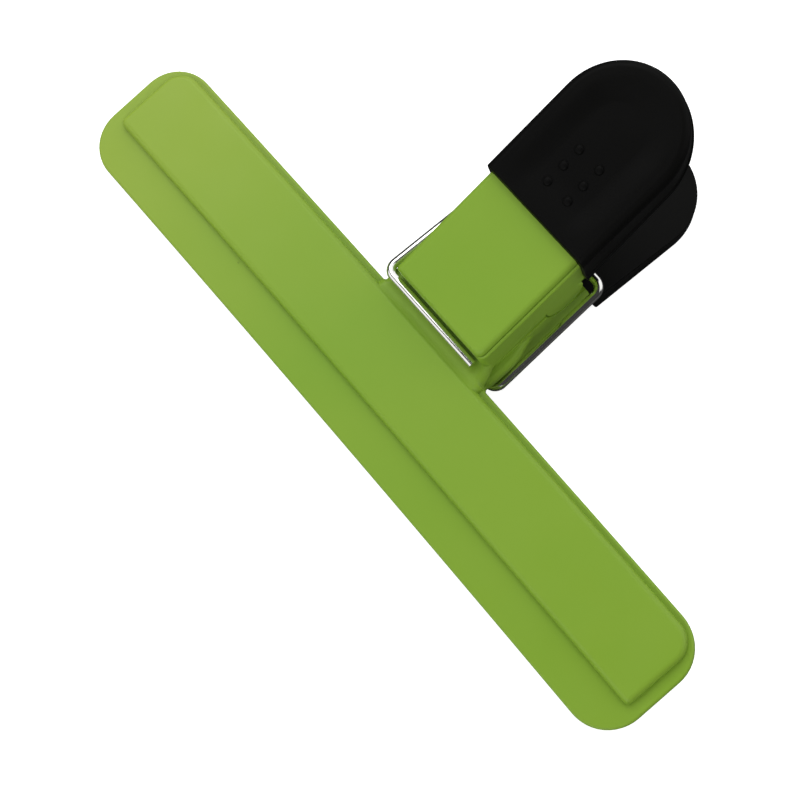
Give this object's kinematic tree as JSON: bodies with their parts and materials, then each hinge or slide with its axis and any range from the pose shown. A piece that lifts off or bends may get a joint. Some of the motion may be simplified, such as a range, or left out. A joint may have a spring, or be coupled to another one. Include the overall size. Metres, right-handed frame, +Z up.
{
  "type": "bag clip",
  "caption": "Wide jaw clip for closing bags: two T-shaped plastic halves with soft grips, pressed together by one bent wire spring.",
  "frame": {"origin": "middle of the footprint of the clip as it lies on a table, at table height", "axes": "+X along the jaws, +Y from the jaws towards the grips along the table, +Z up; the clip's own middle plane rises 15.4 degrees towards the grips"},
  "size_m": [0.15, 0.0878, 0.0465],
  "materials": {
    "jaw_plastic": "satin moulded, lime green",
    "grip_rubber": "soft touch, near black",
    "spring_chrome": "bright plated wire"
  },
  "bodies": {
    "back_half": {"back_jaw": "jaw_plastic", "back_grip": "grip_rubber", "spring_wire": "spring_chrome"},
    "front_half": {"front_jaw": "jaw_plastic", "front_grip": "grip_rubber"}
  },
  "joints": [
    {"name": "jaw_hinge", "type": "hinge", "parent": "back_half", "child": "front_half", "pos_m": [0, 0.00871, 0.01649], "axis": [-1, 0, 0], "range_deg": [0, 45], "stiffness_Nm_per_rad": 0.8, "springref_deg": -22.92, "deforming": ["spring_wire"]}
  ]
}
